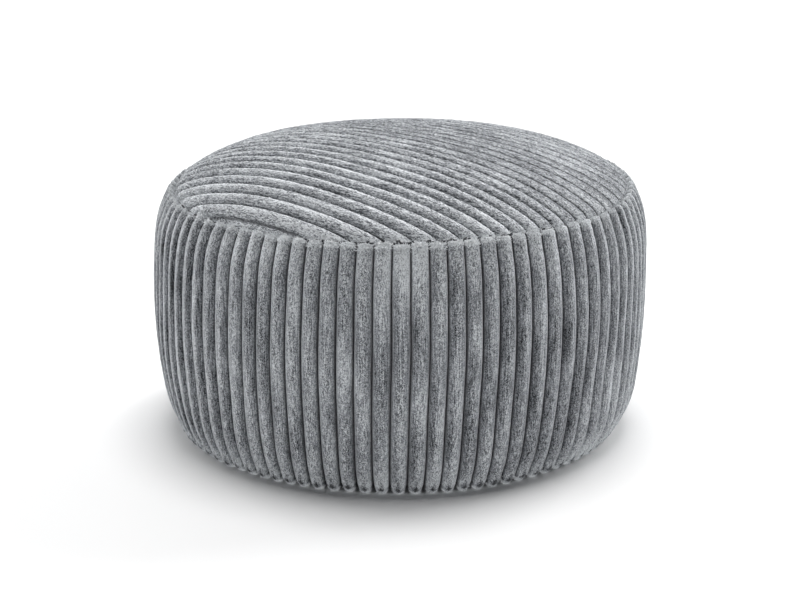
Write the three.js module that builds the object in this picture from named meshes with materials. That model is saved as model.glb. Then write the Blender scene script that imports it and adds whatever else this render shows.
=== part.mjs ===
// Round pouf chair: a tightly filled seat covered in wide-wale corduroy velvet.
// The cover is three cut pieces sewn together: a round crowned top, a tall side band whose wales
// stand upright, and a plain round base. Each piece is one closed solid, filled to its neighbour.
// Millimetres, +Z up, -Y is the front, and the origin is on the floor under the middle.
import * as THREE from "three";

// Driving dimensions
const WIDEST_RADIUS = 300; // floor plan radius at the belly of the band, over its wales
const SEAM_HEIGHT = 300; // floor to the seam that joins the band to the top
const SEAM_RADIUS = 273; // where that seam draws the cover in
const CROWN_RISE = 51; // seam to the highest point of the top
const BASE_RADIUS = 240; // seam under the pouf that joins the band to the base
const BASE_THICKNESS = 3;
const GAP = 0.3; // between neighbouring pieces

// Wales, the raised ribs of the cloth
const BAND_WALES = 90; // wales round the band
const BAND_RELIEF = 4.5; // groove to rib on the band
const TOP_WALE_PITCH = 18.8; // groove to groove on the top
const TOP_WALE_TURN = THREE.MathUtils.degToRad(-37.7); // heading of the top's wales from +X
const TOP_GROOVE_OFFSET = 1.1; // from the middle of the top to its nearest groove
const TOP_RELIEF = 3; // groove to rib on the top
const TOP_ROWS = 8; // steps along each wale of the top

// The filling has settled a little to one side
const LEAN = 3.5; // how far the seam stands to the right of the floor ring
const SEAM_SLOPE = 2; // how much higher the seam is at its right-hand end than at its middle

// Section of one wale, from the groove at its left to the next groove
const WALE_SECTION = [
  { across: 0, relief: 0 },
  { across: 0.16, relief: 0.75 },
  { across: 0.5, relief: 1 },
  { across: 0.84, relief: 0.75 },
];

// Outline of the band from the top seam to the floor: share of the seam height, share of the widest
// radius, and how much of the wales' relief is left where the seams pull them flat
const BAND_OUTLINE = [
  { height: 1, radius: 0.911, relief: 0.5 },
  { height: 0.95, radius: 0.957, relief: 0.9 },
  { height: 0.86, radius: 0.984, relief: 1 },
  { height: 0.63, radius: 1, relief: 1 },
  { height: 0.36, radius: 0.99, relief: 1 },
  { height: 0.15, radius: 0.961, relief: 1 },
  { height: 0.045, radius: 0.919, relief: 0.9 },
  { height: 0, radius: 0.863, relief: 0.6 },
];
const WIDEST_HEIGHT = 0.63; // share of the seam height where the band is widest

// The crown is nearly flat in the middle and steep at its rim
const CROWN_FLATNESS = 2.4;
const CROWN_SHOULDER = 0.77;

const corduroy = new THREE.MeshStandardMaterial({ color: 0x8b8d91, roughness: 0.95, metalness: 0 });
const topCloth = new THREE.MeshStandardMaterial({ color: 0x97999d, roughness: 0.95, metalness: 0 });
const baseCloth = new THREE.MeshStandardMaterial({ color: 0x4a4b4e, roughness: 0.9, metalness: 0 });

// Sideways shift of the leaning form at a share of the seam height
function leanAt(heightShare) {
  return LEAN * (heightShare - WIDEST_HEIGHT);
}

// One closed mesh from its points and its triangles, each given as three point numbers
function closedGeometry(points, triangles) {
  const geometry = new THREE.BufferGeometry().setFromPoints(points);
  geometry.setIndex(triangles.flat());
  geometry.computeVertexNormals();
  return geometry;
}

function piece(name, geometry, material) {
  const mesh = new THREE.Mesh(geometry, material);
  mesh.name = name;
  return mesh;
}

// Points round the band at one row of its outline, going counter-clockwise seen from above,
// starting at the front
function bandRing({ height, radius, relief }) {
  const ring = [];
  for (let wale = 0; wale < BAND_WALES; wale += 1) {
    for (const section of WALE_SECTION) {
      const angle = ((wale + 0.5 + section.across) / BAND_WALES) * 2 * Math.PI;
      const out = radius * WIDEST_RADIUS - BAND_RELIEF * relief * (1 - section.relief);
      const x = out * Math.sin(angle);
      const z = height * (SEAM_HEIGHT + SEAM_SLOPE * (x / SEAM_RADIUS));
      ring.push(new THREE.Vector3(x + leanAt(height), -out * Math.cos(angle), z));
    }
  }
  return ring;
}

// A smooth ring of the recess that the base panel lies in
function recessRing(z) {
  const count = BAND_WALES * WALE_SECTION.length;
  return Array.from({ length: count }, (_, i) => {
    const angle = ((i / WALE_SECTION.length + 0.5) / BAND_WALES) * 2 * Math.PI;
    const out = BASE_RADIUS + GAP;
    return new THREE.Vector3(out * Math.sin(angle) + leanAt(0), -out * Math.cos(angle), z);
  });
}

// The side band, filled: rings from the top seam down, over the floor edge and into the recess
function sideBand() {
  const rings = BAND_OUTLINE.map(bandRing);
  rings.push(recessRing(0), recessRing(BASE_THICKNESS + GAP));
  const count = rings[0].length;
  const points = rings.flat();
  const triangles = [];
  for (let r = 0; r < rings.length - 1; r += 1) {
    for (let i = 0; i < count; i += 1) {
      const next = (i + 1) % count;
      const a = r * count + i;
      const b = r * count + next;
      const c = (r + 1) * count + next;
      const d = (r + 1) * count + i;
      triangles.push([a, d, c], [a, c, b]);
    }
  }
  const topCentre = points.push(new THREE.Vector3(leanAt(1), 0, SEAM_HEIGHT)) - 1;
  const baseCentre = points.push(new THREE.Vector3(leanAt(0), 0, BASE_THICKNESS + GAP)) - 1;
  const last = (rings.length - 1) * count;
  for (let i = 0; i < count; i += 1) {
    const next = (i + 1) % count;
    triangles.push([topCentre, i, next], [baseCentre, last + next, last + i]);
  }
  return closedGeometry(points, triangles);
}

// Height of the crown over the seam at a share of the seam radius
function crownHeight(out) {
  return CROWN_RISE * Math.max(0, 1 - out ** CROWN_FLATNESS) ** CROWN_SHOULDER;
}

// The places across the top where its wale section has a point, from rim to rim
function topLines() {
  const lines = [];
  const reach = Math.ceil(SEAM_RADIUS / TOP_WALE_PITCH) + 1;
  for (let wale = -reach; wale <= reach; wale += 1) {
    for (const section of WALE_SECTION) {
      const across = TOP_GROOVE_OFFSET + (wale + section.across) * TOP_WALE_PITCH;
      if (Math.abs(across) < SEAM_RADIUS - 1) lines.push({ across, relief: section.relief });
    }
  }
  return lines;
}

// A point of the top panel from its place across and along the wales
function topPoint(across, along, relief) {
  const out = Math.min(1, Math.hypot(across, along) / SEAM_RADIUS);
  const x = along * Math.cos(TOP_WALE_TURN) - across * Math.sin(TOP_WALE_TURN);
  const y = along * Math.sin(TOP_WALE_TURN) + across * Math.cos(TOP_WALE_TURN);
  const crown = crownHeight(out);
  const sunk = Math.min(TOP_RELIEF, 0.5 * crown) * (1 - relief);
  const z = SEAM_HEIGHT + GAP + SEAM_SLOPE * (x / SEAM_RADIUS) + crown - sunk;
  return new THREE.Vector3(x + leanAt(1), y, z);
}

// The top panel, filled down to the seam: one chord of points for each line of the wale section,
// and a flat underside between the chords' ends
function topPanel() {
  const lines = topLines();
  const points = [];
  for (const { across, relief } of lines) {
    const half = Math.sqrt(SEAM_RADIUS ** 2 - across ** 2);
    for (let row = 0; row <= TOP_ROWS; row += 1) {
      const along = half * Math.sin((row / TOP_ROWS - 0.5) * Math.PI);
      points.push(topPoint(across, along, relief));
    }
  }
  const stride = TOP_ROWS + 1;
  const triangles = [];
  for (let line = 0; line < lines.length - 1; line += 1) {
    const here = line * stride;
    const there = here + stride;
    for (let row = 0; row < TOP_ROWS; row += 1) {
      triangles.push([here + row, here + row + 1, there + row + 1]);
      triangles.push([here + row, there + row + 1, there + row]);
    }
    triangles.push([here, there, there + TOP_ROWS], [here, there + TOP_ROWS, here + TOP_ROWS]);
  }
  const firstTip = points.push(topPoint(-SEAM_RADIUS, 0, 1)) - 1;
  const lastTip = points.push(topPoint(SEAM_RADIUS, 0, 1)) - 1;
  const last = (lines.length - 1) * stride;
  for (let row = 0; row < TOP_ROWS; row += 1) {
    triangles.push([firstTip, row + 1, row], [lastTip, last + row, last + row + 1]);
  }
  triangles.push([firstTip, 0, TOP_ROWS], [lastTip, last + TOP_ROWS, last]);
  return closedGeometry(points, triangles);
}

// The base panel: a flat round of plain cloth, flush with the rolled edge of the band
function basePanel() {
  const disc = new THREE.CylinderGeometry(BASE_RADIUS, BASE_RADIUS, BASE_THICKNESS, BAND_WALES);
  disc.rotateX(Math.PI / 2);
  disc.translate(leanAt(0), 0, BASE_THICKNESS / 2);
  return disc;
}

const pouf = new THREE.Group();
pouf.add(piece("top_panel", topPanel(), topCloth));
pouf.add(piece("side_band", sideBand(), corduroy));
pouf.add(piece("base_panel", basePanel(), baseCloth));

export default pouf;
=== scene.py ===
import math

import bpy
import numpy as np
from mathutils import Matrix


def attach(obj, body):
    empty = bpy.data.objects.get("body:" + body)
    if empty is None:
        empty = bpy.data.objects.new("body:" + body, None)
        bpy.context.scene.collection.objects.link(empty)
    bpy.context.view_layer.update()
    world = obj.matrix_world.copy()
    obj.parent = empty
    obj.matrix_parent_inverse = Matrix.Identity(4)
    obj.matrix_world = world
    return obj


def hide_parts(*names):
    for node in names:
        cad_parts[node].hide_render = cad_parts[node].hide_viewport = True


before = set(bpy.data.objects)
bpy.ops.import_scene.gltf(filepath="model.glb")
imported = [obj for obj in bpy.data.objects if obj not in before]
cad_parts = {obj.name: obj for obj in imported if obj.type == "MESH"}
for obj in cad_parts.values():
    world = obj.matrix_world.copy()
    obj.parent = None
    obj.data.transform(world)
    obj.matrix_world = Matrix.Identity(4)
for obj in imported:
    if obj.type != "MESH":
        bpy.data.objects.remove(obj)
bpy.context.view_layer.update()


# --- Side band -------------------------------------------------------------------------------------
# A long strip of wide-wale corduroy velvet, polyester pile on a woven ground, closed into a ring with
# its wales upright. It is sewn to the top round its upper edge and to the base under the pouf. The
# filling pushes it out to a belly, and the pile splays at both cut ends of the wales.
MM = 0.001
FULL_TURN = 2 * math.pi
WALES = 90
BELLY_RADIUS = 300.0  # mm, over the wales
SEAM_HEIGHT = 300.0
GROOVE_DEPTH = 8.5
CREST = 0.07  # share of the pile's height that only the middle of a wale reaches
PILE_VARIES = 0.05  # how much taller one wale's pile is than the next one's, as a share
PILE_UNEVEN = 0.11  # mm, from point to point
SWELLING = 1.6  # mm, of the filling all over the pouf
RIPPLING = 0.5  # mm, of the filling over single wales
LEANING = 3.5  # mm sideways from the floor to the top seam
UPRIGHT_AT = 0.63  # share of the height at which the leaning form stands over its middle
LIDS = (288.0, 4.0)  # mm, heights at which the strip is closed on the inside, above and below

# Lines of the mesh across one wale, as shares of its width, closest together at the grooves
ACROSS = (0.0, 0.03, 0.065, 0.12, 0.2, 0.33, 0.5, 0.67, 0.8, 0.88, 0.935, 0.97)

# Outline over the wales from the crease at the top seam to the seam of the base: radius and height
# in mm, how many rows of mesh follow to the next line, and how square a wale's section is there
BAND_OUTLINE = (
    # radius, height, rows, squareness
    (273.0, 297.9, 2, 4.0),
    (274.6, 299.2, 2, 4.0),
    (277.4, 299.5, 4, 4.2),
    (282.4, 295.0, 4, 4.4),
    (287.3, 285.0, 7, 5.6),
    (294.2, 264.4, 8, 5.6),
    (298.2, 234.3, 9, 5.6),
    (300.0, 189.3, 9, 5.6),
    (299.2, 141.2, 8, 5.6),
    (295.7, 96.0, 7, 5.6),
    (291.2, 60.0, 6, 5.6),
    (285.6, 36.0, 5, 5.4),
    (277.8, 18.0, 5, 5.4),
    (272.4, 8.5, 4, 4.4),
    (267.0, 2.8, 3, 3.8),
    (259.5, 0.3, 2, 3.2),
    (250.0, 0.3, 1, 2.6),
    (241.5, 1.2, 0, 2.4),
)

# How evenly the strip was sewn, in degrees round the pouf
WALE_JITTER = 0.06  # from one groove to the next
WALE_WAVER = 0.06  # of each wale on its way down
EASED_IN = 0.6  # the wales at the sides are drawn round towards the back

# Where the strip was fed unevenly under the machine foot, so that its wales stand closer together or
# further apart: angle from the front, how far the wales moved there, and over what angle
UNEVEN_FEED = (
    # angle, shift, spread, all in degrees
    (-41.0, 1.1, 15.0),
    (6.0, 0.3, 8.0),
    (31.0, -0.4, 12.0),
    (61.0, 0.45, 9.0),
    (128.0, -0.8, 18.0),
    (-140.0, 0.7, 16.0),
)

# Where the settled filling has carried the wales sideways out of plumb
WALE_DRIFT = (
    # angle, height in mm, shift in degrees, spread in degrees, spread in mm
    (56.0, 125.0, -1.0, 14.0, 65.0),
    (-32.0, 235.0, 0.55, 14.0, 60.0),
    (-42.0, 45.0, -0.5, 12.0, 55.0),
    (5.0, 175.0, 0.18, 25.0, 50.0),
)

# Where the band bulges or draws in
BAND_SETTLING = (
    # angle, height in mm, bulge in mm, spread in degrees, spread in mm
    (-90.0, 50.0, -3.0, 35.0, 40.0),
    (90.0, 255.0, 1.6, 35.0, 35.0),
    (90.0, 165.0, -1.2, 35.0, 40.0),
)

# Where the filling has settled: how far the top seam stands higher or lower there
SEAM_SETTLING = (
    # angle from the front, lift in mm, spread in degrees
    (-90.0, -2.0, 45.0),
    (-42.0, 2.0, 22.0),
    (22.0, 2.2, 20.0),
    (90.0, -1.8, 45.0),
)
SEAM_TILT = 2.0  # mm that the seam is higher at the right and lower at the left

# How deep the crease of the top seam is drawn in, beyond what it is all round
LEAST_CREASE = 0.6  # mm
SEAM_CREASE = (
    # angle from the front, depth in mm, spread in degrees
    (8.0, 2.6, 36.0),
    (-58.0, 3.4, 34.0),
)

# Where the ends of the wales stand apart at the top seam like fingers, round and with open grooves.
# Elsewhere they are pressed together, and the seam lies nearly flush.
FINGER_SQUARENESS = 2.3
PRESSED_SHUT = 0.72  # share of a groove's depth that is gone where its wales are pressed together
FINGERED_ENDS = (
    # angle from the front, share from 0 to 1, spread in degrees
    (-66.0, 1.0, 40.0),
)

# Where the cut ends of the pile stand up loose along the top seam
LOOSE_ENDS = (
    # angle from the front, share from 0 to 1, spread in degrees
    (0.0, 1.0, 42.0),
    (-62.0, 0.5, 25.0),
)
TIP_UNEVEN_ABOVE = 0.8  # mm from wale to wale, at the top seam
TIP_UNEVEN_BELOW = 1.0  # mm from wale to wale, at the floor
TIP_ROUNDING = 6.5  # mm that the sides of a tip are drawn up from the floor


def fade(value, start, end):
    """A share that goes from 0 at the start to 1 at the end, whichever of them is the higher."""
    return np.clip((value - start) / (end - start), 0, 1)


def smooth_rows(table):
    """Points of a table on one smooth curve through its lines, as many after each line as it says."""
    points = np.array([line[:2] + line[3:] for line in table], float)
    padded = np.vstack([2 * points[0] - points[1], points, 2 * points[-1] - points[-2]])
    rows = []
    for k, line in enumerate(table[:-1]):
        before, here, after, later = padded[k : k + 4]
        for step in range(line[2]):
            t = step / line[2]
            straight = 2 * here + (after - before) * t
            bent = (2 * before - 5 * here + 4 * after - later) * t**2
            twice_bent = (3 * here - before - 3 * after + later) * t**3
            rows.append(0.5 * (straight + bent + twice_bent))
    rows.append(points[-1])
    return np.array(rows)


def settle(seed, amplitude, around, up, turns=(1, 2, 3, 5), lengths=(0.9, 0.45, 0.23)):
    """Slow uneven swelling of the filling: the same every run, and closed round the pouf."""
    draw = np.random.default_rng(seed)
    total = np.zeros(np.broadcast(around, up).shape)
    for turn in turns:
        for length in lengths:
            share = draw.normal() / math.sqrt(len(turns) * len(lengths))
            phase, tilt = draw.uniform(0, FULL_TURN, 2)
            total = total + share * np.sin(turn * around + phase) * np.cos(FULL_TURN * up / length + tilt)
    return amplitude * total


def wale_section(across, squareness):
    """Share of the pile's height across a wale: steep at its grooves and broad on top."""
    off = np.abs(2 * across - 1)
    return (1 - off**squareness) * (1 - CREST * off)


def lean(height):
    """Sideways shift of the settled form, in mm, at a height in mm."""
    return LEANING * (height / SEAM_HEIGHT - UPRIGHT_AT)


def round_the_seam(x, y, table):
    """What a table's soft swells add up to on that side of the pouf."""
    angle = np.degrees(np.arctan2(x, -y))
    total = np.zeros(np.shape(angle))
    for middle, most, spread in table:
        apart = (angle - middle + 180) % 360 - 180
        total = total + most * np.exp(-((apart / spread) ** 2))
    return total


def round_the_band(angle, height, table):
    """What a table's soft swells add up to at an angle in degrees and a height in mm."""
    total = 0.0
    for middle, level, most, spread, reach in table:
        apart = ((angle - middle) / spread) ** 2 + ((height - level) / reach) ** 2
        total = total + most * np.exp(-apart)
    return total


def seam_lift(x, y):
    """How much higher than its mean height the top seam is on that side of the pouf, in mm."""
    return SEAM_TILT * x / BAND_OUTLINE[0][0] + round_the_seam(x, y, SEAM_SETTLING)


# How light the pile looks, in steps of tone. Along the floor it is lighter as painted light, it is worn
# lighter where it is handled, and in the notches between the tips at the floor and between the fingers
# above it is darker as painted shade.
PAINTED_LIGHT_AT_FOOT = 14.0
WORN_EDGE = 2.0
NOTCH_SHADE = 45.0
FINGER_SHADE = 30.0

# How the brush left the pile on both sides of each wale: in long strokes, and shorter ones over them
BRUSH_STROKES = (
    # longest and shortest stroke in mm, steps of tone
    (320.0, 150.0, 5.5),
    (120.0, 60.0, 2.5),
)

# Where the pile of the band is lighter or darker, in steps of tone
BAND_TONE_PATCHES = (
    # angle, height in mm, steps of tone, spread in degrees, spread in mm
    (-61.0, 240.0, -12.0, 11.0, 80.0),
    (-84.0, 230.0, 9.0, 9.0, 70.0),
    (-60.0, 50.0, -6.0, 12.0, 60.0),
    (-30.0, 275.0, 9.0, 7.0, 35.0),
    (0.0, 262.0, 16.0, 8.0, 50.0),
    (15.0, 235.0, -8.0, 8.0, 30.0),
    (8.0, 284.0, 11.0, 19.0, 22.0),
    (29.0, 274.0, 10.0, 6.0, 28.0),
    (46.0, 268.0, -9.0, 9.0, 26.0),
    (24.0, 10.0, -6.0, 9.0, 22.0),
    (45.0, 160.0, -5.0, 20.0, 90.0),
    (38.0, 25.0, -13.0, 14.0, 50.0),
    (66.0, 40.0, 9.0, 11.0, 50.0),
    (84.0, 210.0, 8.0, 9.0, 60.0),
    (74.0, 155.0, 7.0, 5.0, 35.0),
    (60.0, 284.0, -7.0, 7.0, 18.0),
    (-81.0, 165.0, 7.0, 5.0, 45.0),
    (-51.0, 60.0, 6.0, 5.0, 30.0),
)

# The pile of each wale parts along a line and lies towards both grooves. How much lighter or darker it is
# on either side of the parting, as painted light and shade of the light that falls on the flanks there;
# the parting is that share of the wale's width from its left edge
PAINTED_FLANK_LIGHT = (
    # angle, steps of tone on the left, on the right, parting, spread in degrees
    (-62.0, 9.0, -13.0, 0.62, 20.0),
    (7.0, -10.0, 3.0, 0.41, 10.0),
    (29.0, -6.5, 0.0, 0.41, 12.0),
    (52.0, 5.0, -2.0, 0.41, 9.0),
)
PARTING_WIDTH = 0.17  # share of the wale's width


def brushed_sides(draw, wale, across, along):
    """How the pile was brushed on both sides of each wale, in steps of tone: it changes slowly along."""
    tone = np.zeros(np.broadcast(wale, along).shape)
    for slope in (-4, 4):
        of_side = np.clip(0.5 + (across - 0.5) * slope, 0, 1)
        for longest, shortest, steps in BRUSH_STROKES:
            length = draw.uniform(shortest, longest, wale.max() + 1)[wale]
            start = draw.uniform(0, FULL_TURN, wale.max() + 1)[wale]
            tone = tone + of_side * steps * np.sin(FULL_TURN * along / length + start)
    return tone


def read(items, label, kind=np.int32, many=1):
    """What each of a mesh's items holds under a label, in one row of numbers."""
    numbers = np.zeros(len(items) * many, kind)
    items.foreach_get(label, numbers)
    return numbers


def closed_mesh(name, points, faces, values, maps):
    """A smooth-shaded mesh object with a number at each vertex for its material, and its flat map."""
    mesh = bpy.data.meshes.new(name)
    mesh.from_pydata(points * MM, [], faces)
    for label, numbers in values.items():
        layer = mesh.attributes.new(label, "FLOAT", "POINT")
        layer.data.foreach_set("value", np.asarray(numbers, np.float32))
    flat = mesh.uv_layers.new(name="OFBake")
    place = maps(read(mesh.loops, "vertex_index"), mesh)
    flat.data.foreach_set("uv", place.astype(np.float32).ravel())
    mesh.shade_smooth()
    piece = bpy.data.objects.new(name, mesh)
    bpy.context.scene.collection.objects.link(piece)
    return piece


def side_band():
    """The strip, from the crease of the top seam down to the base, with a lid inside each edge."""
    draw = np.random.default_rng(4)
    outline = smooth_rows(BAND_OUTLINE)
    radius, height, squareness = outline[:, :1], outline[:, 1:2], outline[:, 2:]
    along = np.gradient(outline[:, :2], axis=0)
    along /= np.linalg.norm(along, axis=1, keepdims=True)
    out_r, out_z = -along[:, 1:2], along[:, :1]

    wale = np.repeat(np.arange(WALES), len(ACROSS))
    across = np.tile(ACROSS, WALES)
    pitch = 360 / WALES
    groove = (np.arange(WALES + 1) + 0.5) * pitch - 180
    jitter = draw.normal(0, WALE_JITTER, WALES + 1)
    jitter[-1] = jitter[0]
    for angle, shift, spread in UNEVEN_FEED:
        jitter += shift * np.exp(-(((groove - angle) / spread) ** 2))
    groove = groove + jitter + EASED_IN * np.sin(np.radians(groove))
    angle = groove[wale] + across * (groove[wale + 1] - groove[wale])
    theta = np.radians(angle + round_the_band(angle, height, WALE_DRIFT))

    # Each wale wavers a little on its way down, keeps its own height, and its tips end unevenly
    up = height * MM
    waver = [settle(20 + k, WALE_WAVER, 0.0, up[:, 0], (1,), (0.31, 0.17, 0.11)) for k in range(7)]
    waver = np.array(waver)[draw.integers(0, 7, WALES)] * draw.choice((-1, 1), (WALES, 1))
    off = np.abs(2 * across - 1)[None, :]
    theta = theta + np.radians(waver[wale].T * (1 - off * 0.35))
    pile = 1 + draw.normal(0, PILE_VARIES, WALES)[wale][None, :]
    side_x, side_y = np.sin(theta), -np.cos(theta)
    fingers = round_the_seam(side_x, side_y, FINGERED_ENDS)
    loose = np.clip(round_the_seam(side_x, side_y, LOOSE_ENDS), 0, 1)
    crease = LEAST_CREASE + round_the_seam(side_x, side_y, SEAM_CREASE)
    upper = fade(height, 286, 298)
    lower = fade(height, 16, 2)
    tip_top = draw.normal(0, TIP_UNEVEN_ABOVE, WALES)[wale][None, :] * upper * (0.3 + 0.7 * loose)
    tip_low = np.abs(draw.normal(0, TIP_UNEVEN_BELOW, WALES))[wale][None, :] * fade(radius, 262, 268)
    tip_low = (tip_low + TIP_ROUNDING * off**2.2 * fade(radius, 260, 268)) * lower

    # The wales are drawn in to their grooves, least where they are pressed together at the top seam
    rounder = (squareness - FINGER_SQUARENESS) * fingers * upper
    section = wale_section(across[None, :], squareness - rounder)
    closed = fade(height, 278, 298) ** 1.6 * (1 - np.clip(1.1 * fingers, 0, 1))
    inward = GROOVE_DEPTH * pile * (1 - PRESSED_SHUT * closed) * (1 - section)

    # The filling swells between the seams, and the cut pile along the top seam is ragged
    swell = settle(3, SWELLING, theta, up) + settle(8, RIPPLING, theta, up, (7, 11, 13), (0.21, 0.13))
    swell = swell * fade(np.minimum(height - 4, SEAM_HEIGHT - height), 0, 40)
    turn = np.degrees(theta)
    swell = swell + round_the_band(turn, height, BAND_SETTLING)
    swell = swell + draw.normal(0, PILE_UNEVEN, swell.shape) * np.clip(section, 0, 1)
    ragged = draw.normal(0, 1, swell.shape)
    ragged = (ragged + np.roll(ragged, 1, 1)) * 0.5 * fade(height, 289, 294)
    frill = ragged * fade(height, 293, 298)
    r = radius + swell - inward * out_r + 0.5 * frill
    z = height - inward * out_z + tip_top + tip_low + 0.8 * frill
    z = z - crease * fade(radius, 277, 273.5)
    x = r * np.sin(theta)
    y = -r * np.cos(theta)
    z = np.maximum(z + seam_lift(x, y) * np.clip(height / SEAM_HEIGHT, 0, 1), 0.0)
    x = x + lean(height)
    rows, columns = x.shape
    points = np.stack([x, y, z], -1).reshape(-1, 3)
    points = np.vstack([points, [lean(SEAM_HEIGHT), 0, LIDS[0]], [lean(0), 0, LIDS[1]]])

    a = np.arange(rows - 1)[:, None] * columns + np.arange(columns)[None, :]
    b = np.arange(rows - 1)[:, None] * columns + (np.arange(columns)[None, :] + 1) % columns
    faces = np.stack([a, a + columns, b + columns, b], -1).reshape(-1, 4).tolist()
    first, last = rows * columns, rows * columns + 1
    edge = (rows - 1) * columns
    for k in range(columns):
        after = (k + 1) % columns
        faces.append((k, after, first))
        faces.append((edge + after, edge + k, last))

    # The cut ends: above they are as ragged as they are loose, and below they rim each tip. They are
    # paler, partly in their own colour and partly as a painted highlight. Just over the rim the pile of
    # the tip parts round a dark hollow, which runs out up the wale; its darkness is painted shade.
    fuzz = 3.5 + 2.5 * loose
    upper_ends = np.clip((height - 298.5 + fuzz + 2.0 * ragged) / fuzz, 0, 1) * (0.3 + 0.7 * loose)
    upper_ends = upper_ends * (1 - np.clip(fingers, 0, 1) * fade(off, 0.7, 0.9))
    lower_ends = (0.3 * fade(height, 21, 15) + 0.7 * fade(height, 6, 2)) * fade(off, 0.86, 0.72)
    hollow = np.exp(-(((height - 9) / 2.2) ** 2)) * np.exp(-((off / 0.3) ** 2))
    hollow = hollow + 0.3 * np.exp(-(((height - 14) / 5) ** 2)) * np.exp(-((off / 0.1) ** 2))
    ends = np.maximum(upper_ends, lower_ends) - 2.2 * hollow

    tone = brushed_sides(draw, wale, across, height)
    # Painted light towards the floor, and wear along the top seam
    tone = tone + PAINTED_LIGHT_AT_FOOT * fade(height, 55, 0) ** 1.2 + WORN_EDGE * fade(height, 270, 300)
    tone = tone + round_the_band(turn, height, BAND_TONE_PATCHES)
    # Painted light and shade on the left and right flanks of the wales, by angle round the pouf
    for middle, left, right, parting, spread in PAINTED_FLANK_LIGHT:
        of_right = np.clip(0.5 + (across - parting) / PARTING_WIDTH, 0, 1)
        tone = tone + (left + (right - left) * of_right) * np.exp(-(((turn - middle) / spread) ** 2))
    # Painted shade in the notches between the tips, under the foot, and between the fingers
    notch = fade(height, 11, 6) * fade(off, 0.62, 0.82)
    notch = np.maximum(notch, fade(radius, 266, 262) * fade(height, 4, 1))
    tone = tone - NOTCH_SHADE * notch
    tone = tone - FINGER_SHADE * fingers * fade(height, 283, 292) * fade(off, 0.72, 0.92)
    # In the notches and under the foot the dark ground weave is given as painted shade
    ridge = np.where(notch > 0.8, 0.0, np.tile(1 - off[0], (rows, 1)))
    frayed = fade(height, 262, 292) * (0.25 + 0.75 * fingers)
    values = {"ridge": ridge, "cut_end": ends, "tone": tone, "frayed": frayed}
    values = {label: np.append(numbers, [0.0, 0.0]) for label, numbers in values.items()}

    run = np.concatenate([[0], np.cumsum(np.hypot(*np.diff(outline[:, :2], axis=0).T))])
    run /= run[-1]

    def unrolled(corners, mesh):
        """The strip laid out flat, and both lids beside each other above it."""
        row, column = np.divmod(corners, columns)
        uv = np.stack([column / columns, 0.98 - 0.7 * run[np.minimum(row, rows - 1)]], -1)
        # The strip's last wale meets its first one, so that its corners there belong at the far edge
        start = read(mesh.polygons, "loop_start")
        total = read(mesh.polygons, "loop_total")
        face = np.repeat(np.arange(len(start)), total)
        widest = np.zeros(len(start))
        np.maximum.at(widest, face, np.where(corners < first, uv[:, 0], 0))
        uv[:, 0] = np.where((widest[face] > 0.9) & (uv[:, 0] < 0.1), uv[:, 0] + 1, uv[:, 0])
        lid = (total == 3)[face]
        lower_lid = lid & (np.maximum.reduceat(corners, start)[face] == last)
        place = np.stack([points[corners, 0], points[corners, 1]], -1) / 3000
        place = place + np.where(lower_lid, 0.35, 0.12)[:, None] * [1, 0] + [0, 0.12]
        return np.where(lid[:, None], place, uv)

    return closed_mesh("band_corduroy", points, faces, values, unrolled)


band = side_band()


def linear(code):
    """Linear colour of an sRGB hex code."""
    parts = [int(code[k : k + 2], 16) / 255 for k in (1, 3, 5)]
    return [c / 12.92 if c <= 0.04045 else ((c + 0.055) / 1.055) ** 2.4 for c in parts] + [1.0]


def add(tree, kind, inputs=None, **settings):
    """Adds one node with its settings. An input gets a value, or the output it is linked to."""
    made = tree.nodes.new(kind)
    for label, value in settings.items():
        setattr(made, label, value)
    for label, value in (inputs or {}).items():
        if isinstance(value, bpy.types.NodeSocket):
            tree.links.new(value, made.inputs[label])
        else:
            made.inputs[label].default_value = value
    return made


def bare_material(name):
    """A new material that has no nodes yet, and its tree."""
    material = bpy.data.materials.new(name)
    material.use_nodes = True
    material.node_tree.nodes.clear()
    return material, material.node_tree


# Corduroy velvet: upright polyester pile, cut and brushed. It is dark where one looks into the pile
# and light where one looks along it, patches brushed the other way look lighter or darker, and the
# tufts of the pile break the surface into fine grains, coarse where they have clumped.
BAND_PILE = ("#1f2123", "#3f4245", "#83868b", "#cdd1d4")  # from its depth to its lightest ends
# The palest colour of the cut ends: partly their own, partly a painted highlight
PALE_AND_LIT_CUT_PILE = "#eceef0"
PILE_HAZE = "#dfe2e6"
GROUND_WEAVE = "#434447"
GROUND_YARN = "#66676a"
GROUND_YARN_SPACING = 2.2  # mm
GROUND_SHARE = 0.07  # of half a wale, that the pile doesn't cover
TUFT = 0.85  # mm from tuft to tuft; the real 0.5 mm is too fine to show, so that it is drawn coarser
TUFT_RELIEF = 1.1  # mm
STREAK_LENGTH = 27.0  # mm, of the lines along the wale in which the brush left the pile
CLUMP = 3.0  # mm from one gap between clumped tufts to the next
CLUMPED_PATCH = 46.0  # mm across, where the tufts have clumped
BRUSHED_PATCH = 58.0  # mm across


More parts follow.
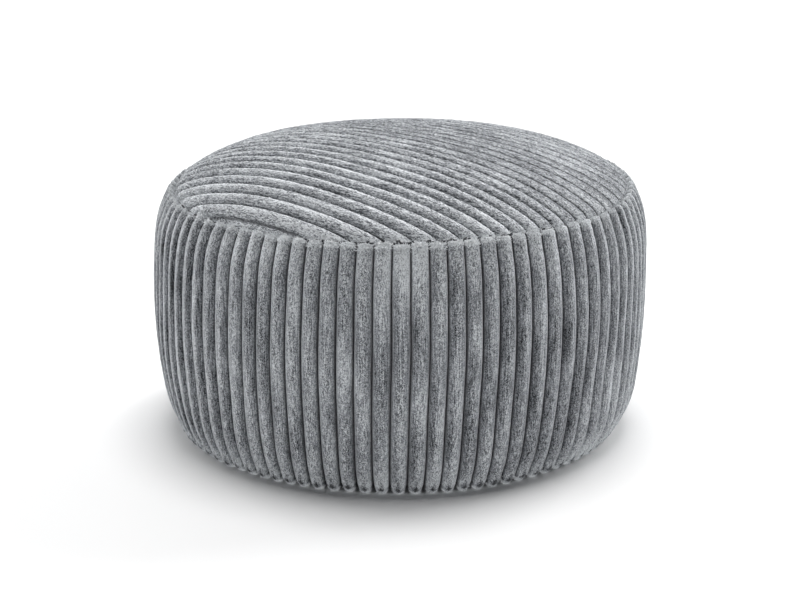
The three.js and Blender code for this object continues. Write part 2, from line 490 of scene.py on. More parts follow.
def corduroy(name, pile, axis, turn, bare, parted, patchy, fineness, streak_width, haze, haze_spread):
    """The cloth's material, in four colours of its pile from its depth to its lightest ends.

    The wales follow that axis once turned about Z. The ground shows through between two shares of
    half a wale, and the pile is parted along each wale as steeply as a roof so many mm high. Patchy
    and fineness say how much the pile varies from patch to patch and from tuft to tuft. The haze is
    the light that its ends catch from all sides.
    """
    material, tree = bare_material(name)
    place = add(tree, "ShaderNodeTexCoord").outputs["Object"]
    turned = add(tree, "ShaderNodeVectorRotate", {"Vector": place, "Angle": -turn}, rotation_type="Z_AXIS")
    of = {}
    for label in ("ridge", "cut_end", "tone", "frayed"):
        of[label] = add(tree, "ShaderNodeAttribute", attribute_name=label).outputs["Fac"]

    # The patterns of the pile, each drawn out along the wales by keeping a share of distances there
    noise, cells = "ShaderNodeTexNoise", "ShaderNodeTexVoronoi"
    for label, kind, size, kept, inputs in (
        # pattern, its node, size in mm, share kept, its other inputs
        ("patches", noise, BRUSHED_PATCH, 0.5, {"Detail": 2.0, "Roughness": 0.55, "Distortion": 0.5}),
        ("clumps", noise, CLUMPED_PATCH, 0.6, {"Detail": 2.0, "Roughness": 0.5}),
        ("streaks", noise, streak_width, streak_width / STREAK_LENGTH, {"Detail": 1.0, "Roughness": 0.5}),
        ("tufts", cells, TUFT, TUFT / streak_width, {"Randomness": 1.0}),
        ("gaps", cells, CLUMP, 0.75, {"Randomness": 1.0}),
    ):
        squeeze = [1.0, 1.0, 1.0]
        squeeze[axis] = kept
        where = add(tree, "ShaderNodeVectorMath", {0: turned.outputs[0], 1: squeeze}, operation="MULTIPLY")
        pattern = add(tree, kind, {"Vector": where.outputs[0], "Scale": 1000 / size, **inputs})
        of[label] = pattern.outputs["Distance" if kind == cells else "Fac"]
        of["colour of " + label] = pattern.outputs["Color"]
    tone = add(tree, "ShaderNodeSeparateColor", {"Color": of["colour of tufts"]})
    of["tuft_tone"] = tone.outputs[0]

    for label, operation, *numbers in (
        # result, operation, and its numbers; a SMOOTHSTEP has a number, from and to, and its two ends.
        # The pile stands open along the crest of a wale, most where it has clumped
        ("crest", "SMOOTHSTEP", "ridge", 0.45, 0.9, 0.0, 1.0),
        ("clumped", "SMOOTHSTEP", "clumps", 0.42, 0.62, 0.0, 1.0),
        ("clumped", "MULTIPLY_ADD", "clumped", 0.75, 0.25),
        ("clumped", "MAXIMUM", "clumped", "frayed"),
        ("open", "MULTIPLY", "frayed", 0.7),
        ("open", "MAXIMUM", "crest", "open"),
        ("open", "MULTIPLY", "open", "clumped"),
        # Dark gaps between clumped tufts: painted shade where the pile opens
        ("gap", "SMOOTHSTEP", "gaps", 0.14, 0.27, 1.0, 0.0),
        ("gap", "MULTIPLY", "gap", "open"),
        # How light the pile looks: each line that ends in light adds to it or takes from it
        ("brushed", "SMOOTHSTEP", "patches", 0.44, 0.56, 0.0, 1.0),
        ("light", "MULTIPLY_ADD", "brushed", 0.14 * patchy, 0.5 - 0.57 * patchy),
        ("light", "MULTIPLY_ADD", "patches", patchy, "light"),
        ("streak", "ADD", "streaks", -0.5),
        ("most", "MULTIPLY_ADD", "crest", 0.3, 1.0),
        ("light", "MULTIPLY_ADD", "streak", "most", "light"),
        ("speck", "ADD", "tuft_tone", -0.5),
        ("most", "MULTIPLY_ADD", "open", 0.35, fineness),
        ("light", "MULTIPLY_ADD", "speck", "most", "light"),
        ("light", "MULTIPLY_ADD", "crest", 0.06, "light"),
        ("light", "MULTIPLY_ADD", "tone", 0.015, "light"),
        # The cut ends are made lighter, partly their own paler colour and partly a painted highlight
        ("light", "MULTIPLY_ADD", "cut_end", 0.7, "light"),
        ("light", "MULTIPLY_ADD", "frayed", 0.12, "light"),
        # How dark the gaps are painted as painted shade, darkest where the pile frays
        ("most", "MULTIPLY_ADD", "frayed", -0.8, -0.28),
        ("light", "MULTIPLY_ADD", "gap", "most", "light"),
        # The cut ends of the pile are palest, partly in their own colour and partly as a painted
        # highlight, and the ground shows at the bottom of the grooves
        ("pale_and_lit_end", "MULTIPLY_ADD", "speck", 0.7, "cut_end"),
        ("pale_and_lit_end", "SMOOTHSTEP", "pale_and_lit_end", 0.45, 1.1, 0.0, 0.8),
        ("ground", "SMOOTHSTEP", "ridge", *bare, 1.0, 0.0),
        # The tufts stand unevenly, most where the pile is open
        ("grain", "MULTIPLY_ADD", "open", 0.8, 0.2),
        ("grain", "MULTIPLY", "tufts", "grain"),
        ("lines", "MULTIPLY", "streaks", 0.7),
        ("grain", "MULTIPLY_ADD", "grain", -0.7, "lines"),
        ("grain", "MULTIPLY_ADD", "gap", -1.0, "grain"),
    ):
        inputs = {slot: of.get(number, number) for slot, number in enumerate(numbers)}
        if operation == "SMOOTHSTEP":
            made = add(tree, "ShaderNodeMapRange", inputs, interpolation_type=operation)
        else:
            made = add(tree, "ShaderNodeMath", inputs, operation=operation)
        of[label] = made.outputs[0]

    ramp = add(tree, "ShaderNodeValToRGB", {"Fac": of["light"]})
    steps = ramp.color_ramp.elements
    steps[0].color = linear(pile[0])
    steps[1].color = linear(pile[3])
    steps.new(0.1).color = linear(pile[1])
    steps.new(0.5).color = linear(pile[2])
    colour = ramp.outputs["Color"]
    for share, other in (("pale_and_lit_end", PALE_AND_LIT_CUT_PILE), ("ground", GROUND_WEAVE)):
        mixed = add(tree, "ShaderNodeMix", {0: of[share], 6: colour, 7: linear(other)}, data_type="RGBA")
        colour = mixed.outputs[2]

    # The pile leans outwards from the middle of each wale, and its tufts stand out of it
    fan = add(tree, "ShaderNodeBump", {"Height": of["ridge"], "Strength": 1.0, "Distance": parted * MM})
    relief = add(
        tree, "ShaderNodeBump",
        {"Height": of["grain"], "Normal": fan.outputs[0], "Strength": 1.0, "Distance": TUFT_RELIEF * MM},
    )
    dullness = add(tree, "ShaderNodeMapRange", {"Value": of["light"], "To Min": 0.95, "To Max": 0.78})
    shader = add(
        tree, "ShaderNodeBsdfPrincipled",
        {
            "Base Color": colour,
            "Roughness": dullness.outputs[0],
            "Normal": relief.outputs[0],
            "IOR": 1.5,
            "Specular IOR Level": 0.15,
            "Sheen Weight": haze,
            "Sheen Roughness": haze_spread,
            "Sheen Tint": linear(PILE_HAZE),
        },
    )
    add(tree, "ShaderNodeOutputMaterial", {"Surface": shader.outputs[0]})
    return material


def ground_weave():
    """The bare woven ground between two wales, which has no pile and lies in their shade."""
    material, tree = bare_material("woven_ground_between_wales")
    place = add(tree, "ShaderNodeTexCoord").outputs["Object"]
    yarns = add(
        tree, "ShaderNodeTexNoise",
        {"Vector": place, "Scale": 1000 / GROUND_YARN_SPACING, "Detail": 2.0, "Roughness": 0.6},
    ).outputs["Fac"]
    ramp = add(tree, "ShaderNodeValToRGB", {"Fac": yarns})
    shade, yarn = ramp.color_ramp.elements
    shade.color, shade.position = linear(GROUND_WEAVE), 0.35
    yarn.color, yarn.position = linear(GROUND_YARN), 0.75
    relief = add(tree, "ShaderNodeBump", {"Height": yarns, "Strength": 0.8, "Distance": 0.6 * MM})
    dull = add(tree, "ShaderNodeMapRange", {"Value": yarns, "To Min": 0.98, "To Max": 0.85})
    look = {"Base Color": ramp.outputs["Color"], "Roughness": dull.outputs[0], "Normal": relief.outputs[0]}
    shader = add(tree, "ShaderNodeBsdfPrincipled", {**look, "IOR": 1.5, "Specular IOR Level": 0.1})
    add(tree, "ShaderNodeOutputMaterial", {"Surface": shader.outputs[0]})
    return material


PILE_SHUT = 0.4  # of a cut end: from there its pile covers the groove
DRAWN_IN = 1.2  # of a cut end: beyond it the edge is drawn into the seam


def bare_the_grooves(piece, weave):
    """Gives the ground weave to the bottoms of the grooves, and as painted shade to the notches and to the
    edge drawn into the seam.
    """
    mesh = piece.data
    mesh.materials.append(weave)
    corners = read(mesh.loops, "vertex_index")
    start = read(mesh.polygons, "loop_start")
    ridge = read(mesh.attributes["ridge"].data, "value", np.float32)[corners]
    ends = read(mesh.attributes["cut_end"].data, "value", np.float32)[corners]
    grooves = np.maximum.reduceat(ridge, start) < GROUND_SHARE
    grooves &= np.maximum.reduceat(ends, start) < PILE_SHUT
    bare = grooves | (np.minimum.reduceat(ends, start) > DRAWN_IN)
    mesh.polygons.foreach_set("material_index", bare.astype(np.int32))


# Loose tufts of the same pile, at the cut ends of the wales, where nothing beside them holds them up.
# Each is a bundle of fibres that ends in a point. At the floor they are pressed short.
TUFT_WIDTH = 1.4  # mm at the root
TUFT_LENGTH = 3.4
TUFT_ROOTED = 1.2  # mm that its root is sunk in the cloth
AT_FLOOR = 20.0  # mm, below which a tuft is one of the tips at the floor


def loose_tufts(name, cloth, count, seed):
    """Tufts that stand out of the cloth's cut ends, as many and as ragged as those are loose."""
    draw = np.random.default_rng(seed)
    mesh = cloth.data
    place = read(mesh.vertices, "co", np.float32, 3).reshape(-1, 3) / MM
    normal = read(mesh.vertices, "normal", np.float32, 3).reshape(-1, 3)
    total = read(mesh.polygons, "loop_total")
    area = read(mesh.polygons, "area", np.float32)
    room = np.zeros(len(place))
    np.add.at(room, read(mesh.loops, "vertex_index"), np.repeat(area / total, total))
    outward = place * [1, 1, 0] / np.linalg.norm(place[:, :2], axis=1, keepdims=True).clip(1)
    facing = (normal * (outward + [0, 0, 0.25])).sum(1) > 0.15
    ends = read(mesh.attributes["cut_end"].data, "value", np.float32)
    ridge = read(mesh.attributes["ridge"].data, "value", np.float32)
    room = room * np.clip(ends, 0, 1) * (ends < DRAWN_IN) * facing
    room = room * (ridge > np.where(place[:, 2] < AT_FLOOR, 0.3, 0.05))
    chosen = draw.choice(len(place), count, p=room / room.sum())

    root = place[chosen] + draw.normal(0, 0.5, (count, 3))
    lay = normal[chosen] + 0.25 * outward[chosen] + draw.normal(0, 0.45, (count, 3))
    lay /= np.linalg.norm(lay, axis=1, keepdims=True)
    side = np.cross(lay, draw.normal(0, 1, (count, 3)))
    side /= np.linalg.norm(side, axis=1, keepdims=True)
    other = np.cross(lay, side)
    width = TUFT_WIDTH * draw.uniform(0.6, 1.2, (count, 1))
    length = TUFT_LENGTH * draw.uniform(0.5, 1.2, (count, 1))
    loose = round_the_seam(place[chosen, 0], place[chosen, 1], LOOSE_ENDS)[:, None]
    length = length * np.where(place[chosen, 2:] < AT_FLOOR, 0.4, 0.12 + 0.88 * np.clip(loose, 0, 1))
    points = [root + length * lay]
    for turn in (0, FULL_TURN / 3, FULL_TURN * 2 / 3):
        spoke = math.cos(turn) * side + math.sin(turn) * other
        points.append(root - TUFT_ROOTED * normal[chosen] + 0.58 * width * spoke)
    points = np.stack(points, 1).reshape(-1, 3)
    points[:, 2] = np.maximum(points[:, 2], 0.3)
    pattern = np.array([(0, 2, 1), (0, 3, 2), (0, 1, 3), (1, 2, 3)])
    faces = (pattern[None] + 4 * np.arange(count)[:, None, None]).reshape(-1, 3).tolist()
    values = {
        "ridge": np.full(4 * count, 0.6),
        # The tips of the tufts count as cut ends: paler, partly in their own colour and partly as a
        # painted highlight
        "cut_end": np.tile([1.15, 0.75, 0.75, 0.75], count),
        "tone": np.repeat(draw.normal(6, 8, count), 4),
        "frayed": np.zeros(4 * count),
    }

    def in_rows(corners, mesh):
        """Each tuft's own small square of the flat map."""
        across_map = math.ceil(math.sqrt(count))
        tuft, corner = np.divmod(corners, 4)
        spot = np.stack(np.divmod(tuft, across_map), -1) / across_map
        return spot + np.array([(0.5, 0.5), (0.1, 0.1), (0.9, 0.1), (0.5, 0.9)])[corner] / across_map

    made = closed_mesh(name, points, faces, values, in_rows)
    made.data.shade_flat()
    return made


band_velvet = corduroy(
    "corduroy_velvet_band", BAND_PILE, axis=2, turn=0.0, bare=(0.04, 0.19), parted=3.9,
    patchy=0.36, fineness=0.52, streak_width=1.3, haze=0.5, haze_spread=0.5,
)
weave = ground_weave()
band.data.materials.append(band_velvet)
bare_the_grooves(band, weave)
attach(band, "root")
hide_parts("side_band")

band_tufts = loose_tufts("band_cut_pile", band, count=18000, seed=61)
band_tufts.data.materials.append(band_velvet)
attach(band_tufts, "root")
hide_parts("side_band")


# --- Top panel -------------------------------------------------------------------------------------
# A round of the same corduroy velvet, cut with its wales slanting across the pouf and sewn to the
# band. The filling lifts it to a flat crown that falls steeply to the seam, and each wale is pinched
# off round where it runs into the seam.
SEAM_RADIUS = 272.4  # mm
WALE_SLANT = math.radians(-37.7)
WALE_PITCH = 18.2
FRONT_GROOVE = -263.2  # mm from the middle, across the wales: the groove before the first whole wale
WALES_BEFORE = 3  # wale widths before that groove, in the strip along the seam
WALES_AFTER = 37
TOP_DEPTH = 7.2
TOP_UNEVEN = 0.22  # mm, from point to point
TOP_SWELLING = 0.9  # mm
TOP_WAVER = 0.8  # mm, of each wale on its way across
TOP_CREASE = 0.8  # mm, the least
TOP_RAGGED = 0.6  # mm, of the cut pile along the seam
TOP_ROWS = 190
TOP_LID = 290.0  # mm, height at which the round is closed underneath
PINCH = 7.0  # mm of each wale's end that the seam draws down

# How far the round was pulled out of straight across its wales when it was sewn in: at the seam, for
# each power of the place along the wales and across them
PULLED = (
    # mm, power of the place along, power of the place across
    (13.2, 1, 0),
    (-9.1, 2, 0),
    (41.4, 1, 1),
    (14.0, 1, 2),
    (89.4, 2, 2),
)
PULL_EVENS_OUT = 0.6  # share of the seam's radius from which the pull grows no further across

# The crown over the seam, and how unevenly the filling lies under it, as shares of the belly's radius
CROWN_RISE = 55.0  # mm
TILT_RIGHT = -0.0217
TILT_BACK = -0.0084
SADDLE = 0.0239
TWIST = 0.0292

# Where one sees the edge of the top drawn into the seam, which gets the dark ground weave as painted shade
# of the crease, and where its pile frays
SHADED_SEAM_CREASE = (
    # angle from the front, share from 0 to 1, spread in degrees
    (2.0, 1.0, 30.0),
    (-60.0, 0.25, 20.0),
)
FRAYED_FRONT = (
    # angle from the front, share from 0 to 1, spread in degrees
    (-25.0, 0.8, 40.0),
)

# How light the pile of the top looks, in steps of tone. In front, where the cloth is taut, it is lighter
# as painted light, though not on the front flank of each wale, where shade is painted. Behind and towards
# the right it is darker as painted shade, most on the back flanks, and deep beside the grooves.
PAINTED_LIGHT_IN_FRONT = 12.0
SHADED_FLANK = 8.0
PAINTED_SHADE_BEHIND = 10.0
PAINTED_SHADE_AT_RIGHT = 4.0
PAINTED_SHADE_WHERE_SLACK = 3.0
PAINTED_SHADE_ON_BACK_FLANKS = 9.0
PAINTED_SHADE_BESIDE_GROOVES = 15.0
SLIVER_SHADE = 30.0  # the strip in front of the first whole wale lies in its shade
SLIVER_SHADED = 15.0  # mm of that strip

# Where the pile of the top is lighter or darker, in steps of tone
TOP_TONE_PATCHES = (
    # place along the wales and across them in mm, steps of tone, spread in mm
    (130.0, -60.0, -10.0, 50.0),
    (95.0, -150.0, -8.0, 45.0),
    (-110.0, 30.0, -12.0, 45.0),
    (140.0, 110.0, 10.0, 65.0),
    (200.0, 0.0, -6.0, 40.0),
    (0.0, -232.0, -4.0, 50.0),
    (144.0, -186.0, -10.0, 28.0),
    (235.0, 45.0, -8.0, 30.0),
)


def dragged(along, across):
    """How far the round was pulled out of straight there, across its wales, when it was sewn in."""
    a = along / SEAM_RADIUS
    b = PULL_EVENS_OUT * np.tanh(across / SEAM_RADIUS / PULL_EVENS_OUT)
    return sum(pull * a**of_along * b**of_across for pull, of_along, of_across in PULLED)


def crown(x, y):
    """How high the filling lifts the middle of a wale over the seam, in mm."""
    q = np.clip(np.hypot(x, y) / SEAM_RADIUS, 0, 1)
    p, o = x / BELLY_RADIUS, y / BELLY_RADIUS
    uneven = TILT_RIGHT * p + TILT_BACK * o + SADDLE * (p**2 - o**2) + TWIST * p * o
    return CROWN_RISE * np.maximum(1 - q**2.4, 0) ** 0.77 + BELLY_RADIUS * (1 - q**2) * uneven


def wale_lines():
    """Lines along the wales: place across, share of the wale, its number, and both ends at the seam."""
    along = np.linspace(-SEAM_RADIUS, SEAM_RADIUS, 1501)
    lines = []
    for wale in range(-WALES_BEFORE, WALES_AFTER):
        for share in ACROSS:
            place = FRONT_GROOVE + (wale + share) * WALE_PITCH
            reach = along**2 + (place + dragged(along, place)) ** 2 - SEAM_RADIUS**2
            inside = np.flatnonzero(reach < 0)
            if len(inside) < 2 or along[inside[-1]] - along[inside[0]] < 24:
                continue
            ends = []
            for k, beyond in ((inside[0], -1), (inside[-1], 1)):
                part = reach[k] / (reach[k] - reach[k + beyond])
                ends.append(along[k] + part * (along[k + beyond] - along[k]))
            lines.append((place, share, wale + WALES_BEFORE, *ends))
    return np.array(lines).T


def top_panel():
    """The round: lines along its wales from seam to seam, with its edge and a lid underneath."""
    draw = np.random.default_rng(11)
    place, share, number, start, end = wale_lines()
    number = number.astype(int)
    t = 0.5 + 0.5 * np.sin(math.pi / 2 * np.linspace(-1, 1, TOP_ROWS))
    s = start[:, None] + (end - start)[:, None] * t[None, :]
    m = np.repeat(place[:, None], TOP_ROWS, 1)
    w = m + dragged(s, m)
    q = np.clip(np.hypot(s, w) / SEAM_RADIUS, 0, 1)
    w = w + (1 - q**4) * settle(31, TOP_WAVER, s / 160, w * MM, (1, 2, 3), (0.5, 0.27))
    x = s * math.cos(WALE_SLANT) - w * math.sin(WALE_SLANT)
    y = s * math.sin(WALE_SLANT) + w * math.cos(WALE_SLANT)

    step = 0.5
    slope_x = (crown(x + step, y) - crown(x - step, y)) / (2 * step)
    slope_y = (crown(x, y + step) - crown(x, y - step)) / (2 * step)
    rise = crown(x, y)
    size = np.sqrt(slope_x**2 + slope_y**2 + 1)
    nx, ny, nz = -slope_x / size, -slope_y / size, 1 / size

    # Towards the seam the wales are drawn down: apart from each other where their ends stand like
    # fingers, and pressed together where the seam is flush. In front the cloth is taut over them.
    from_seam = SEAM_RADIUS - np.hypot(x, y)
    edge = fade(from_seam, 0, PINCH)
    standing = np.sqrt(np.clip(1 - (1 - edge) ** 2, 0, 1))
    fingers = round_the_seam(x, y, FINGERED_ENDS)
    crease = TOP_CREASE + round_the_seam(x, y, SEAM_CREASE)
    forward = -(0.9 * x + 1.2 * y)
    taut = fade(forward, 0, 220)
    squareness = 2.4 + (3.6 - 1.8 * taut) * (1 - 0.7 * fingers) * (fingers * standing + 1 - fingers)
    section = wale_section(share[:, None], squareness)
    pile = 1 + PILE_VARIES * draw.normal(0, 1, number.max() + 1)[number][:, None]
    sunk = np.where(m < FRONT_GROOVE, 0.25, 1.0)
    pressed = 1 - 0.6 * (1 - standing) * (1 - 0.7 * fingers)
    opened = 0.3 + 0.8 * taut
    full = section * sunk * (1 - 0.4 * fingers * (1 - standing))
    inward = TOP_DEPTH * opened * pile * pressed * (1 - full)
    z = SEAM_HEIGHT - (1.0 + crease) * (1 - standing) + rise + draw.normal(0, TOP_UNEVEN, x.shape)
    z = z + settle(33, TOP_SWELLING, x / 150, y * MM, (1, 2, 3), (0.3, 0.17)) * (1 - q**4)
    at_seam = np.clip(1 - edge * 1.6, 0, 1)
    z = z + TOP_RAGGED * draw.normal(0, 1, x.shape) * at_seam
    px = x - inward * nx * 0.6
    py = y - inward * ny * 0.6
    pz = z - inward * nz + seam_lift(x, y) * q**2
    count, rows = px.shape
    points = np.stack([px + lean(SEAM_HEIGHT), py, pz], -1).reshape(-1, 3)

    # Both ends of the outermost lines meet at a point of the seam
    tips = []
    for line in (0, -1):
        meet_x = x[line, 0] + x[line, -1]
        meet_y = y[line, 0] + y[line, -1]
        reach = SEAM_RADIUS / math.hypot(meet_x, meet_y)
        tip_x, tip_y = meet_x * reach, meet_y * reach
        tips.append([tip_x + lean(SEAM_HEIGHT), tip_y, SEAM_HEIGHT - 5.0 + seam_lift(tip_x, tip_y)])
    low_tip, high_tip = count * rows, count * rows + 1
    right_ends = [k * rows + rows - 1 for k in range(count)]
    left_ends = [k * rows for k in range(count - 1, -1, -1)]
    rim = [low_tip] + right_ends + [high_tip] + left_ends
    points = np.vstack([points, tips])
    under = points[rim] * [0.985, 0.985, 1] - [0, 0, 1.2]
    base = len(points)
    middle = base + len(rim)
    points = np.vstack([points, under, [lean(SEAM_HEIGHT), 0, TOP_LID]])

    a = np.arange(count - 1)[:, None] * rows + np.arange(rows - 1)[None, :]
    faces = np.stack([a, a + 1, a + rows + 1, a + rows], -1).reshape(-1, 4).tolist()
    for k in range(rows - 1):
        faces.append((low_tip, k + 1, k))
        faces.append((high_tip, (count - 1) * rows + k, (count - 1) * rows + k + 1))
    for k in range(len(rim)):
        after = (k + 1) % len(rim)
        faces.append((rim[k], base + k, base + after, rim[after]))
        faces.append((base + k, middle, base + after))

    # Where the crown stretches the cloth least, the pile of two wales meets over the groove, and so
    # it does over the one before the first whole wale
    half = 1 - np.abs(2 * share[:, None] - 1)
    meeting = 0.02 * (1 - np.clip(0.25 + forward / 200, 0, 1))
    meeting = np.maximum(meeting, np.where(np.abs(m - FRONT_GROOVE) < 1, 0.09, 0.0))
    loose = np.clip(round_the_seam(x, y, LOOSE_ENDS), 0, 1)
    ripple = np.sin(x * 0.37) * np.sin(y * 0.31 + 1.0)
    # Painted shade along the seam's crease, where the edge gets the dark ground weave
    crease_shade = (1.3 + 0.9 * ripple) * round_the_seam(x, y, SHADED_SEAM_CREASE)
    ends = 0.7 * at_seam * (0.2 + 0.8 * loose) + np.where(from_seam < crease_shade, 1.0, 0.0)
    frayed = fade(from_seam, 70, 0) * round_the_seam(x, y, FRAYED_FRONT)

    flank = np.clip((share[:, None] - 0.5) / 0.25, -1, 1)
    beside = fade(half, 0.24, 0.14)
    far_back = fade(y, 60, 190)
    tone = brushed_sides(draw, number[:, None], share[:, None], s)
    # Painted shade behind and towards the right, painted light in front with painted shade on its front
    # flanks, and where the cloth is slack painted shade on the back flanks and beside the grooves, painted
    # light on the front flanks
    tone = tone - PAINTED_SHADE_BEHIND * fade(y, -120, -10) * (1 - 0.3 * far_back)
    tone = tone - PAINTED_SHADE_AT_RIGHT * fade(x, 0, 120) * fade(y, 160, 60)
    tone = tone + taut * (PAINTED_LIGHT_IN_FRONT - SHADED_FLANK * np.clip(-flank, 0, 1))
    deep = PAINTED_SHADE_BESIDE_GROOVES * (1 + 0.8 * far_back) * beside
    tone = tone - (1 - taut) * (PAINTED_SHADE_ON_BACK_FLANKS * flank + PAINTED_SHADE_WHERE_SLACK + deep)
    for along, across, steps, spread in TOP_TONE_PATCHES:
        tone = tone + steps * np.exp(-((s - along) ** 2 + (w - across) ** 2) / spread**2)
    shaded = np.clip(1.1 - (FRONT_GROOVE - m) / SLIVER_SHADED, 0, 1)
    tone = tone - np.where(m < FRONT_GROOVE, SLIVER_SHADE * shaded, 0.0)
    of_edge = np.zeros(len(points) - count * rows)
    values = {"ridge": np.maximum(half, meeting), "cut_end": ends, "tone": tone, "frayed": frayed}
    values = {label: np.append(numbers, of_edge) for label, numbers in values.items()}

    def planar(corners, mesh):
        """The round seen from above, and its edge and lid small beside it."""
        start = read(mesh.polygons, "loop_start")
        face = np.repeat(np.arange(len(start)), read(mesh.polygons, "loop_total"))
        hidden = (np.maximum.reduceat(corners, start) >= base)[face]
        place = points[corners, :2] - [lean(SEAM_HEIGHT), 0]
        return np.where(hidden[:, None], place / 3600 + 0.92, place / 700 + [0.41, 0.41])

    return closed_mesh("top_corduroy", points, faces, values, planar)


# The same velvet as the band's, given lighter colours as a painted sheen of looking along its pile from
# above
TOP_PILE = ("#333538", "#54585c", "#979a9f", "#dbdee1")

top = top_panel()
top_velvet = corduroy(
    "corduroy_velvet_top", TOP_PILE, axis=0, turn=WALE_SLANT, bare=(0.05, 0.145), parted=1.7,
    patchy=0.35, fineness=0.95, streak_width=2.2, haze=0.3, haze_spread=0.7,
)
top.data.materials.append(top_velvet)
bare_the_grooves(top, weave)
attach(top, "root")
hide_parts("top_panel")

top_tufts = loose_tufts("top_cut_pile", top, count=2200, seed=62)
top_tufts.data.materials.append(top_velvet)
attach(top_tufts, "root")
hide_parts("top_panel")


# --- Base panel ------------------------------------------------------------------------------------
# A plain round of dark woven polyester, cut flat and sewn inside the band's lower edge. It lies on
# the floor and isn't seen while the pouf stands.
BASE_RADIUS = 240.0  # mm
BASE_THICKNESS = 2.6
BASE_RINGS = (0.25, 0.5, 0.72, 0.88, 0.95, 0.985, 1.0)  # rings of its mesh, as shares of its radius
BASE_COLUMNS = 180
BASE_PUCKERS = 60  # round its edge


def base_panel():
    """A thin round in rings, whose puckered edge is drawn up off the floor by the seam."""
    draw = np.random.default_rng(17)
    theta = np.linspace(0, FULL_TURN, BASE_COLUMNS, endpoint=False)
    pucker = 0.35 * np.sin(BASE_PUCKERS * theta) + 0.2 * draw.normal(0, 1, BASE_COLUMNS)
    points, faces = [], []
    for side in (0, 1):
        for share in BASE_RINGS:
            r = BASE_RADIUS * share
            lift = fade(share, 0.95, 1.0) * (0.9 + pucker)
            z = lift if side == 0 else BASE_THICKNESS - 0.6 * lift
            z = np.maximum(z * np.ones(BASE_COLUMNS), 0)
            points.append(np.stack([lean(0) + r * np.sin(theta), -r * np.cos(theta), z], -1))
    points = np.vstack(points + [[[lean(0), 0, 0]], [[lean(0), 0, BASE_THICKNESS]]])
    upper = len(BASE_RINGS) * BASE_COLUMNS
    outer = upper - BASE_COLUMNS
    below, above = len(points) - 2, len(points) - 1
    for k in range(BASE_COLUMNS):
        after = (k + 1) % BASE_COLUMNS
        faces.append((below, after, k))
        faces.append((above, upper + k, upper + after))
        for start in range(0, outer, BASE_COLUMNS):
            a, b = start + k, start + after
            faces.append((a, b, b + BASE_COLUMNS, a + BASE_COLUMNS))
            a, b = a + upper, b + upper
            faces.append((a, a + BASE_COLUMNS, b + BASE_COLUMNS, b))
        faces.append((outer + k, outer + after, outer + upper + after, outer + upper + k))

    def planar(corners, mesh):
        """The underside and the upper side, one beside the other."""
        is_upper = (corners >= upper) & (corners != below)
        place = points[corners, :2] / 1000 + 0.25
        return place + np.where(is_upper, 0.5, 0)[:, None] * [1, 0]

    return closed_mesh("base_weave", points, faces, {}, planar)


# Woven polyester: dull spun yarns over and under each other, which show as a fine grid
YARN = "#3c3d40"
YARN_SHADE = "#202123"
YARN_SPACING = 2.0  # mm; the real 0.6 mm is too fine to show, so that it is drawn coarser
YARN_RELIEF = 0.4  # mm


def base_weave():
    """The base cloth's material: yarns both ways, and dust that has dulled them here and there."""
    material, tree = bare_material("woven_polyester_base")
    place = add(tree, "ShaderNodeTexCoord").outputs["Object"]
    grid = {"Vector": place, "Scale": 500 / YARN_SPACING / FULL_TURN, "Distortion": 1.2, "Detail": 1.0}
    yarns = []
    for axis in ("X", "Y"):
        wave = add(tree, "ShaderNodeTexWave", grid, wave_type="BANDS", bands_direction=axis)
        yarns.append(wave.outputs["Fac"])
    weave = add(tree, "ShaderNodeMath", {0: yarns[0], 1: yarns[1]}, operation="MULTIPLY").outputs[0]
    worn = add(tree, "ShaderNodeTexNoise", {"Vector": place, "Scale": 14.0, "Detail": 4.0}).outputs["Fac"]
    dusty = add(tree, "ShaderNodeMath", {0: weave, 1: worn}, operation="MULTIPLY").outputs[0]
    ramp = add(tree, "ShaderNodeValToRGB", {"Fac": dusty})
    ramp.color_ramp.elements[0].color = linear(YARN_SHADE)
    ramp.color_ramp.elements[1].color = linear(YARN)
    ramp.color_ramp.elements[1].position = 0.6
    relief = add(tree, "ShaderNodeBump", {"Height": weave, "Strength": 0.7, "Distance": YARN_RELIEF * MM})
    dull = add(tree, "ShaderNodeMapRange", {"Value": worn, "To Min": 0.8, "To Max": 0.95})
    look = {"Base Color": ramp.outputs["Color"], "Roughness": dull.outputs[0], "Normal": relief.outputs[0]}
    haze = {"Sheen Weight": 0.1, "Sheen Roughness": 0.5}
    shader = add(tree, "ShaderNodeBsdfPrincipled", {**look, **haze, "IOR": 1.5, "Specular IOR Level": 0.2})
    add(tree, "ShaderNodeOutputMaterial", {"Surface": shader.outputs[0]})
    return material


base = base_panel()
base.data.materials.append(base_weave())
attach(base, "root")
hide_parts("base_panel")


# --- Floor, light and camera -----------------------------------------------------------------------
# A white studio floor that runs out of sight, broad soft light from above and both sides, and a
# long lens from a little above.
FLOOR_HALF = 40.0  # m
FLOOR_PAPER = ("#f1f1f1", "#f5f5f5")


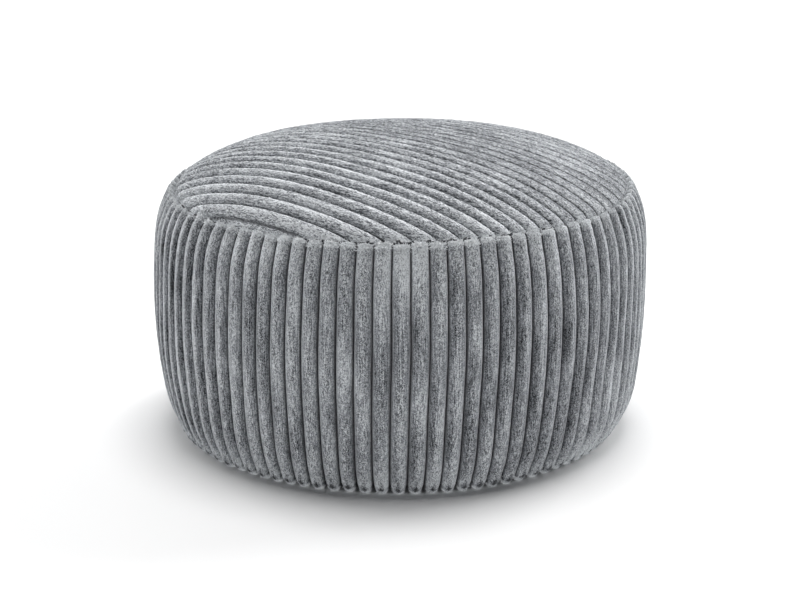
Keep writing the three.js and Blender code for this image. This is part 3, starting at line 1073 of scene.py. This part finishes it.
def studio_floor():
    """A sheet of matt white paper, with the faintest unevenness of tone."""
    corners = [(-1, -1), (1, -1), (1, 1), (-1, 1)]
    mesh = bpy.data.meshes.new("studio_floor")
    mesh.from_pydata([(x * FLOOR_HALF, y * FLOOR_HALF, 0) for x, y in corners], [], [(0, 1, 2, 3)])
    floor = bpy.data.objects.new("studio_floor", mesh)
    bpy.context.scene.collection.objects.link(floor)
    material, tree = bare_material("white_paper_floor")
    place = add(tree, "ShaderNodeTexCoord").outputs["Object"]
    tone = add(tree, "ShaderNodeTexNoise", {"Vector": place, "Scale": 2.0, "Detail": 2.0}).outputs["Fac"]
    ramp = add(tree, "ShaderNodeValToRGB", {"Fac": tone})
    ramp.color_ramp.elements[0].color = linear(FLOOR_PAPER[0])
    ramp.color_ramp.elements[1].color = linear(FLOOR_PAPER[1])
    shader = add(
        tree, "ShaderNodeBsdfPrincipled",
        {"Base Color": ramp.outputs["Color"], "Roughness": 0.9, "Specular IOR Level": 0.1},
    )
    add(tree, "ShaderNodeOutputMaterial", {"Surface": shader.outputs[0]})
    mesh.materials.append(material)
    return floor


floor = studio_floor()

# Broad lamps far away. Azimuth 0 shines from the front and 90 from the right.
for name, strength, spread, azimuth, elevation in (
    # name, strength, spread, azimuth and elevation in degrees
    ("overhead_softbox", 2.1, 32, 158, 84),
    ("back_softbox", 0.75, 50, 180, 50),
    ("back_left_softbox", 1.4, 36, -132, 28),
    ("back_right_softbox", 2.3, 36, 132, 28),
    ("floor_bounce_left", 1.05, 60, -42, -25),
    ("floor_bounce_right", 1.05, 60, 78, -25),
):
    lamp = bpy.data.lights.new(name, "SUN")
    lamp.energy = strength
    lamp.angle = math.radians(spread)
    made = bpy.data.objects.new(name, lamp)
    made.rotation_euler = (math.radians(90 - elevation), 0, math.radians(azimuth))
    bpy.context.scene.collection.objects.link(made)
floor.visible_shadow = False  # so that the white floor's bounce reaches the pouf from below

world = bpy.data.worlds.new("studio")
world.use_nodes = True
world.node_tree.nodes["Background"].inputs["Color"].default_value = (1, 1, 1, 1)
world.node_tree.nodes["Background"].inputs["Strength"].default_value = 0.05
bpy.context.scene.world = world

lens = bpy.data.cameras.new("camera")
lens.sensor_width = 36.0
lens.lens = 103.5
lens.clip_end = 200.0
camera = bpy.data.objects.new("camera", lens)
camera.location = (0.0, -2.6987, 0.9899)
camera.rotation_euler = (math.radians(72.681), 0, 0)
bpy.context.scene.collection.objects.link(camera)
bpy.context.scene.camera = camera
bpy.context.scene.view_settings.view_transform = "Standard"
